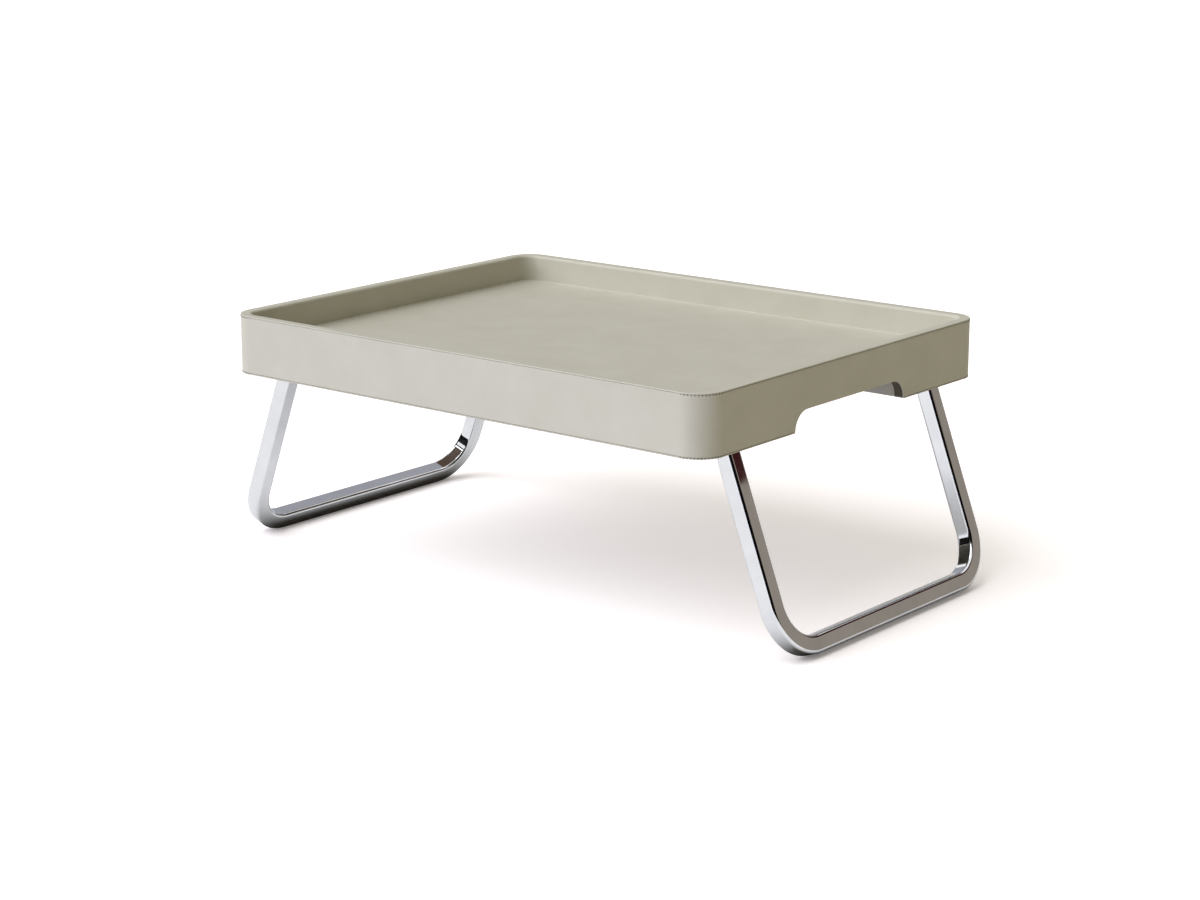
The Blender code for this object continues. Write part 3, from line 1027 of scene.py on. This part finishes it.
@dataclass
class WoodCore(SubAssembly):
    """The rails, bent corners and floor panel under the leather, and the painted edging of the notches."""

    def build(self) -> None:
        """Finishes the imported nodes, whose shapes are right as they are."""
        for name in ("front_rail", "back_rail", "left_rail", "right_rail", "floor_panel"):
            self.shop.dress_node(name, Slot.PLYWOOD)
        for name, _ in quarters():
            self.shop.dress_node(name + "_corner", Slot.PLYWOOD)
        for end in End:
            self.shop.dress_node(end.word + "_notch_edging", Slot.EDGING)
        self.shop.dress_node("underside_felt", Slot.FELT)


@dataclass
class Underside(SubAssembly):
    """The leather-wrapped hinge blocks, the leg stops and the magnet catches under the floor."""

    block_round: float = 0.0004
    moulded_round: float = 0.0006
    magnet_round: float = 0.0004

    def build(self) -> None:
        """Makes the softened blocks, stops, plates and magnets."""
        for name, _ in quarters():
            self.round_off(name, "hinge_block", "wrapped_block", Slot.LEATHER, self.block_round, 2)
            self.round_off(name, "leg_stop", "rounded_stop", Slot.NYLON, self.moulded_round)
        for end in End:
            self.round_off(end.word, "catch_plate", "rounded_plate", Slot.NYLON, self.moulded_round)
            self.round_off(end.word, "catch_magnet", "rounded_magnet", Slot.MAGNET, self.magnet_round)

    def round_off(
        self, where: str, node: str, name: str, slot: Slot, width: float, segments: int = 3
    ) -> None:
        """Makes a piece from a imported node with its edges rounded."""
        piece = copy_of_node(f"{where}_{node}", f"{where}_{name}")
        self.fit(smooth(soften(piece, width, segments)), Body.TRAY, slot, f"{where}_{node}")


@dataclass
class PivotHardware(SubAssembly):
    """The bolts, washers, plugs, inserts and screws of the four pivots."""

    bolt_head: float = 0.0055
    bolt_head_height: float = 0.0028
    shank: float = 0.003
    socket: float = 0.0024
    socket_depth: float = 0.0016
    washer_play: float = 0.0003
    chamfer: float = 0.0004
    head_curve: float = 0.6
    sides: int = 48
    screw_head: float = 0.004
    screw_shank: float = 0.002
    screw_sides: int = 24
    screw_edge: float = 0.0003
    head_break: float = 0.0002
    screw_tip: float = 0.0004
    plain_shank: float = 0.004
    thread_pitch: float = 0.0014
    thread_crest: float = 0.0004
    thread_valley: float = 0.0009
    thread_root: float = 0.78
    recess_half: float = 0.0024
    recess_blade: float = 0.0005
    recess_depth: float = 0.0016
    overrun: float = 0.001

    def build(self) -> None:
        """Makes the hardware of each quarter."""
        for name, depth in quarters():
            self.fit(self.bolt(name, depth), Body.TRAY, Slot.STEEL, name + "_pivot_bolt")
            for where in ("inner", "outer"):
                node = f"{name}_{where}_washer"
                self.fit(self.washer(node), Body.TRAY, Slot.NYLON, node)
            for where in ("near", "far"):
                node = f"{name}_block_screw_{where}"
                self.fit(self.screw(node), Body.TRAY, Slot.STEEL, node)
            self.shop.dress_node(name + "_threaded_insert", Slot.BRASS)
            self.shop.dress_node(name + "_pivot_plug", Slot.NYLON)

    def bolt(self, name: str, depth: Depth) -> Piece:
        """Turns a shoulder bolt with a chamfered head and a hexagon socket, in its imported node's place.

        Args:
            name: the quarter's name.
            depth: the long side that its head looks towards.

        Returns:
            The bolt.
        """
        low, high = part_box(name + "_pivot_bolt")
        shank, head, chamfer, top = self.shank, self.bolt_head, self.chamfer, self.bolt_head_height
        length, curve = high.y - low.y - top, chamfer * self.head_curve
        section = [
            (shank - chamfer, -length),
            (shank, -length + chamfer),
            (shank, 0.0),
            (head - chamfer / 2, 0.0),
            (head, chamfer / 2),
            (head, top - 2 * chamfer),
            (head - curve, top - curve),
            (head - 2 * chamfer, top),
        ]
        bolt = turned(name + "_shoulder_bolt", section, self.sides)
        hexagon, flat = circle(self.socket, 6), Matrix.Identity(4)
        cut(bolt, prism(name + "_socket", hexagon, top - self.socket_depth, top + self.overrun, flat))
        middle = (low + high) / 2
        seat = (high.y if depth is Depth.BACK else low.y) - depth.value * top
        turn = Matrix.Rotation(-depth.value * QUARTER, 4, "X")
        bolt.data.transform(Matrix.Translation((middle.x, seat, middle.z)) @ turn)
        return smooth(bolt)

    def washer(self, node: str) -> Piece:
        """Turns a flat washer with its edges broken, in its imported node's place.

        Args:
            node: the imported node.

        Returns:
            The washer.
        """
        low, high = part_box(node)
        radius, half = (high.x - low.x) / 2, (high.y - low.y) / 2
        hole, edge = self.shank + self.washer_play, self.chamfer / 2
        lower = [(hole, edge - half), (hole + edge, -half), (radius - edge, -half), (radius, edge - half)]
        section = lower + [(r, -z) for r, z in reversed(lower)]
        washer = turned(node + "_moulded", section, self.sides, ring=True)
        washer.data.transform(Matrix.Translation((low + high) / 2) @ Matrix.Rotation(QUARTER, 4, "X"))
        return smooth(washer)

    def screw(self, node: str) -> Piece:
        """Turns a countersunk wood screw with a cross recess and a ridged shank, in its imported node's place.

        Args:
            node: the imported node.

        Returns:
            The screw.
        """
        low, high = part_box(node)
        head, shank, edge = self.screw_head, self.screw_shank, self.screw_edge
        section = [(head - self.head_break, 0.0), (head, edge), (shank, head - shank + edge)]
        height = section[-1][1] + self.plain_shank
        while height < high.z - low.z - self.plain_shank:
            section += [(shank, height), (shank, height + self.thread_crest)]
            section.append((shank * self.thread_root, height + self.thread_valley))
            height += self.thread_pitch
        section.append((self.screw_tip, high.z - low.z))
        screw = turned(node + "_cross_head", section, self.screw_sides)
        wide, thin = self.recess_half, self.recess_blade
        blade = [(-wide, -thin), (wide, -thin), (wide, thin), (-wide, thin)]
        turns = [Matrix.Rotation(turn * QUARTER, 4, "Z") for turn in (0, 1)]
        cut(screw, *(prism("blade", blade, -self.overrun, self.recess_depth, turn) for turn in turns))
        screw.data.transform(Matrix.Translation(((low.x + high.x) / 2, (low.y + high.y) / 2, low.z)))
        return smooth(screw)


@dataclass
class FoldingLeg(SubAssembly):
    """A U-shaped leg bent from chromed square tube, open at its rounded top ends.

    A ring of points beside each bend, and one below each end, holds the straight stretches flat.
    """

    end: End
    bar: float = 0.0175
    bar_round: float = 0.003
    tube_wall: float = 0.0015
    half_width: float = 0.1685
    foot: float = 0.2095
    bend: float = 0.0445
    splay: float = math.radians(20.5)
    pivot_x: float = 0.2726
    pivot_z: float = 0.206892
    dome: float = 0.00905
    bore: float = 0.0036
    bend_steps: int = 28
    hold: float = 0.0015
    upright_hold: float = -0.012
    sharp_from: float = 30
    overrun: float = 0.002

    def build(self) -> None:
        """Bends the tube, rounds its ends, drills it and sets it in its place."""
        tube = self.rings(self.bar / 2, self.bar_round, 0.0)
        leg = loft(f"{self.end.word}_bent_tube_leg", tube, closed=False)
        inner, inner_round = self.bar / 2 - self.tube_wall, self.bar_round - self.tube_wall
        inside = loft("leg_bore", self.rings(inner, inner_round, 2 * self.overrun), closed=False)
        wide = self.bar / 2 + 2 * self.overrun
        dome = arc((0, 0), self.dome, 2 * QUARTER, 0, 32)
        ends = self.across_uprights([(-wide, 0.0), *dome, (wide, 0.0), (wide, wide), (-wide, wide)])
        cut(leg, inside, *ends, *self.across_uprights(circle(self.bore, 32)))
        place = Matrix.Translation((self.pivot_x, 0, self.pivot_z)) @ Matrix.Rotation(-self.splay, 4, "Y")
        if self.end is End.LEFT:
            place = Matrix.Rotation(2 * QUARTER, 4, "Z") @ place
        leg.data.transform(place)
        smooth(leg, self.sharp_from)
        self.fit(leg, self.end.leg_body, Slot.CHROME, f"{self.end.word}_leg")

    def path(self, beyond: float) -> list[tuple[Vector, Vector]]:
        """The tube's middle line in the leg's own plane, from one upright's end to the foot's middle.

        Args:
            beyond: how far it goes past the end.

        Returns:
            Points and the direction across the tube at each.
        """
        low, near = self.bend - self.foot, self.bend - self.half_width
        heights = (self.bar / 2 + beyond, self.upright_hold, low + self.hold)
        made = [(Vector((0, -self.half_width, height)), Vector((0, 1, 0))) for height in heights]
        for y, z in arc((0, 0), 1, 2 * QUARTER, 3 * QUARTER, self.bend_steps):
            spoke = Vector((0, y, z))
            made.append((Vector((0, near, low)) + spoke * self.bend, -spoke))
        made.append((Vector((0, near + self.hold, -self.foot)), Vector((0, 0, 1))))
        return made

    def rings(self, half: float, radius: float, beyond: float) -> list[list[Vector]]:
        """Carries a rounded square section along the path and its mirror image.

        Args:
            half: half the section's width.
            radius: the round of its edges.
            beyond: how far the path goes past both ends.

        Returns:
            The section's points at each point of the path.
        """
        square = [(-half, -half), (half, -half), (half, half), (-half, half)]
        section = rounded_section(square, [radius] * 4, steps=6)
        path = self.path(beyond)
        made = [[point + across * u + Vector((v, 0, 0)) for u, v in section] for point, across in path]
        return made + [[Vector((p.x, -p.y, p.z)) for p in ring] for ring in reversed(made)]

    def across_uprights(self, outline: Section) -> list[Piece]:
        """Pushes an outline across both uprights, for cutting them.

        Args:
            outline: its corners, about the pivot.

        Returns:
            A solid for each upright.
        """
        side_on = Matrix(((1, 0, 0, 0), (0, 0, 1, 0), (0, 1, 0, 0), (0, 0, 0, 1)))
        reach = self.bar / 2 + self.overrun
        middles = (-self.half_width, self.half_width)
        return [prism("upright_cutter", outline, y - reach, y + reach, side_on) for y in middles]


# Studio


@dataclass
class Studio:
    """The plain pale floor, the soft lamps, the white surround and the camera."""

    floor_half: float = 40.0
    contact: float = 0.07
    shadow_reach: Pair = (0.3, 0.95)
    shadow_glow: Pair = (0.15, 0.5)
    mirror_reach: Pair = (0.55, 0.96)
    mirror_glow: float = 0.23
    fill: float = 0.24
    key_strength: float = 3.0
    key_spread: float = math.radians(72)
    key_from: Place = (-0.39, -0.6, 0.69)
    key_tint: tuple[float, ...] = (0.98, 1.0, 1.08)
    strip_power: float = 14.0
    strip_place: Place = (-0.35, -2.4, 0.09)
    strip_size: Pair = (3.0, 0.16)
    strip_tint: tuple[float, ...] = (0.36, 0.42, 1.0)
    lens: float = 79.44
    camera_place: Place = (1.64327, -2.04629, 0.77516)
    azimuth: float = math.radians(38.848)
    elevation: float = math.radians(14.111)

    def build(self) -> None:
        """Sets the studio up."""
        bpy.context.scene.view_settings.view_transform = "Standard"
        self.lay_floor()
        self.light()
        self.surround()
        self.hang_cards()
        self.aim_camera()

    def lay_floor(self) -> None:
        """Lays a sheet of white paper that keeps the object's shadow, and adds a painted contact shadow where
        its glow dims by ambient occlusion near the object.
        """
        half = self.floor_half
        corners = [Vector((x, y, 0)) for x, y in ((-half, -half), (half, -half), (half, half), (-half, half))]
        floor = new_piece("studio_floor", corners, [(0, 1, 2, 3)])
        floor.data.materials.append(bpy.data.materials.new("studio_paper"))
        tree = self.cleared(floor.data.materials[0])
        matt = add_node(tree, "BsdfDiffuse", {"Color": linear("D8D2BE")})
        shadow = add_node(tree, "BsdfDiffuse", {"Color": linear("FFF9FB")})
        # The glow that the camera sees dims by ambient occlusion near the object: a painted contact shadow on
        # the floor.
        near = add_node(tree, "AmbientOcclusion", {"Distance": self.contact}).outputs["AO"]
        shade = add_node(tree, "MapRange", mapping(near, *self.shadow_reach, *self.shadow_glow))
        white = add_node(tree, "Emission", {"Color": linear("FFFBFB"), "Strength": shade})
        seen = add_node(tree, "AddShader", {0: shadow, 1: white})
        sheet = add_node(tree, "BsdfDiffuse", {"Color": linear("EBEAEC")})
        glow = add_node(tree, "Emission", {"Color": linear("FBFBFF"), "Strength": self.mirror_glow})
        bright = add_node(tree, "AddShader", {0: sheet, 1: glow})
        # The floor that metal mirrors turns dark by ambient occlusion near the object: painted contact shade
        # in the chrome's reflection.
        dark = add_node(tree, "BsdfDiffuse", {"Color": linear("66625C")})
        clear = add_node(tree, "MapRange", mapping(near, *self.mirror_reach, 0, 1))
        mirrored = add_node(tree, "MixShader", {0: clear, 1: dark, 2: bright})
        self.show_by_ray(tree, "OutputMaterial", matt, seen, mirrored)

    def surround(self) -> None:
        """A white surround that lights the object softly from all sides."""
        world = bpy.data.worlds.new("studio_surround")
        bpy.context.scene.world = world
        tree = self.cleared(world)
        light = add_node(tree, "Background", {"Color": linear("FFF7CE"), "Strength": self.fill})
        white = add_node(tree, "Background", {"Color": linear("FFFFFF"), "Strength": 1.0})
        self.show_by_ray(tree, "OutputWorld", light, white, white)

    @staticmethod
    def cleared(owner: Material | bpy.types.World) -> Tree:
        """Empties the node tree of a material or the world.

        Args:
            owner: what has the tree.

        Returns:
            The empty tree.
        """
        owner.use_nodes = True
        owner.node_tree.nodes.clear()
        return owner.node_tree

    @staticmethod
    def show_by_ray(tree: Tree, output: str, lighting: Node, seen: Node, mirrored: Node) -> None:
        """Lets a surface light the object with one shader and show itself with others.

        Args:
            tree: the node tree.
            output: the type of the tree's output node, without its ShaderNode.
            lighting: the shader that lights the object.
            seen: the shader that the camera sees, also through glass.
            mirrored: the shader that metal mirrors.
        """
        rays = add_node(tree, "LightPath").outputs
        direct = {0: rays["Is Camera Ray"], 1: rays["Is Transmission Ray"]}
        share = add_node(tree, "Math", direct, {"operation": "ADD", "use_clamp": True})
        indirect = add_node(tree, "MixShader", {0: rays["Is Glossy Ray"], 1: lighting, 2: mirrored})
        mix = add_node(tree, "MixShader", {0: share, 1: indirect, 2: seen})
        add_node(tree, output, {"Surface": mix})

    def light(self) -> None:
        """Lights the object with a broad soft key from the front left and a low cool strip from the front."""
        key = bpy.data.lights.new("key_lamp", "SUN")
        key.angle = self.key_spread
        key.energy = self.key_strength
        key.color = self.key_tint
        self.hang(key, Vector(self.key_from).to_track_quat("Z", "Y").to_matrix().to_4x4())
        strip = bpy.data.lights.new("low_strip", "AREA")
        strip.shape = "RECTANGLE"
        strip.size, strip.size_y = self.strip_size
        strip.energy = self.strip_power
        strip.color = self.strip_tint
        lamp = self.hang(strip, Matrix.Translation(self.strip_place) @ Matrix.Rotation(QUARTER, 4, "X"))
        lamp.visible_glossy = False

    @staticmethod
    def hang(data: bpy.types.Light, place: Matrix) -> Piece:
        """Hangs a lamp.

        Args:
            data: the lamp.
            place: where it hangs and how it is turned.

        Returns:
            The lamp's object.
        """
        lamp = bpy.data.objects.new(data.name, data)
        lamp.matrix_world = place
        bpy.context.scene.collection.objects.link(lamp)
        return lamp

    def hang_cards(self) -> None:
        """Hangs glowing cards that light nothing and that only the chrome mirrors: painted reflections that
        draw the edges of metal.
        """
        self.card("brown_card", "958C82", (2.1, 2.5, 1.3), 4.6, 2.7)
        self.card("grey_card", "A5A5AC", (-2.2, 3.6, 2.2), 4.0, 4.2)
        self.card("dark_card", "3A1A1C", (1.3, 1.75, 1.0), 1.2, 0.9)
        self.card("right_black_card", "0C0A0A", (3.2, -0.9, 1.8), 5.2, 3.5)
        self.card("front_black_card", "0C0A0A", (0.2, -4.0, 1.8), 7.0, 3.5)
        self.card("left_black_card", "0C0A0A", (-4.0, -1.6, 1.8), 6.0, 3.5)
        self.card("back_black_card", "0C0A0A", (-0.15, 4.0, 1.6), 1.3, 3.2)
        self.card("lamp_card", "FFFFFF", (-1.0, -2.35, 1.38), 1.3, 0.55)
        self.card("ceiling_card", "5A4B40", (-1.2, -0.1, 2.5), 4.9, 1.5, overhead=True)

    def card(
        self,
        name: str,
        colour: str,
        middle: Place,
        width: float,
        height: float,
        overhead: bool = False,
    ) -> None:
        """Hangs one card, turned towards the object.

        Args:
            name: the card's name.
            colour: its sRGB hex colour.
            middle: its middle.
            width: its width.
            height: its height.
            overhead: whether it lies flat like a ceiling.
        """
        across = Vector((-middle[1], middle[0], 0)).normalized() * width / 2
        up = Vector((middle[0], middle[1], 0)).normalized() if overhead else Vector((0, 0, 1))
        up *= height / 2
        centre = Vector(middle)
        corners = [centre - across - up, centre + across - up, centre + across + up, centre - across + up]
        card = new_piece(name, corners, [(0, 1, 2, 3)])
        card.data.materials.append(bpy.data.materials.new(name + "_cloth"))
        tree = self.cleared(card.data.materials[0])
        # The card glows and is hidden from the camera, the light and the shadows: a painted reflection.
        reflection_glow = add_node(tree, "Emission", {"Color": linear(colour), "Strength": 1.0})
        add_node(tree, "OutputMaterial", {"Surface": reflection_glow})
        card.visible_camera = False
        card.visible_diffuse = False
        card.visible_shadow = False
        card.visible_transmission = False

    def aim_camera(self) -> None:
        """Sets the camera at the photograph's viewing angle."""
        data = bpy.data.cameras.new("camera")
        data.lens = self.lens
        data.sensor_width = 36
        data.clip_end = 100
        camera = bpy.data.objects.new("camera", data)
        turn = Matrix.Rotation(self.azimuth, 4, "Z") @ Matrix.Rotation(QUARTER - self.elevation, 4, "X")
        camera.matrix_world = Matrix.Translation(self.camera_place) @ turn
        bpy.context.scene.collection.objects.link(camera)
        bpy.context.scene.camera = camera


def main() -> None:
    """Builds every sub-assembly in order, then the studio."""
    logging.basicConfig(level=logging.INFO, format="%(name)s: %(message)s")
    shop = Workshop()
    shell = LeatherShell(shop)
    assemblies = [
        shell,
        Seams(shop, shell),
        WoodCore(shop),
        Underside(shop),
        PivotHardware(shop),
        FoldingLeg(shop, End.LEFT),
        FoldingLeg(shop, End.RIGHT),
    ]
    for assembly in assemblies:
        assembly.build()
    Studio().build()


if __name__ == "__main__":
    main()
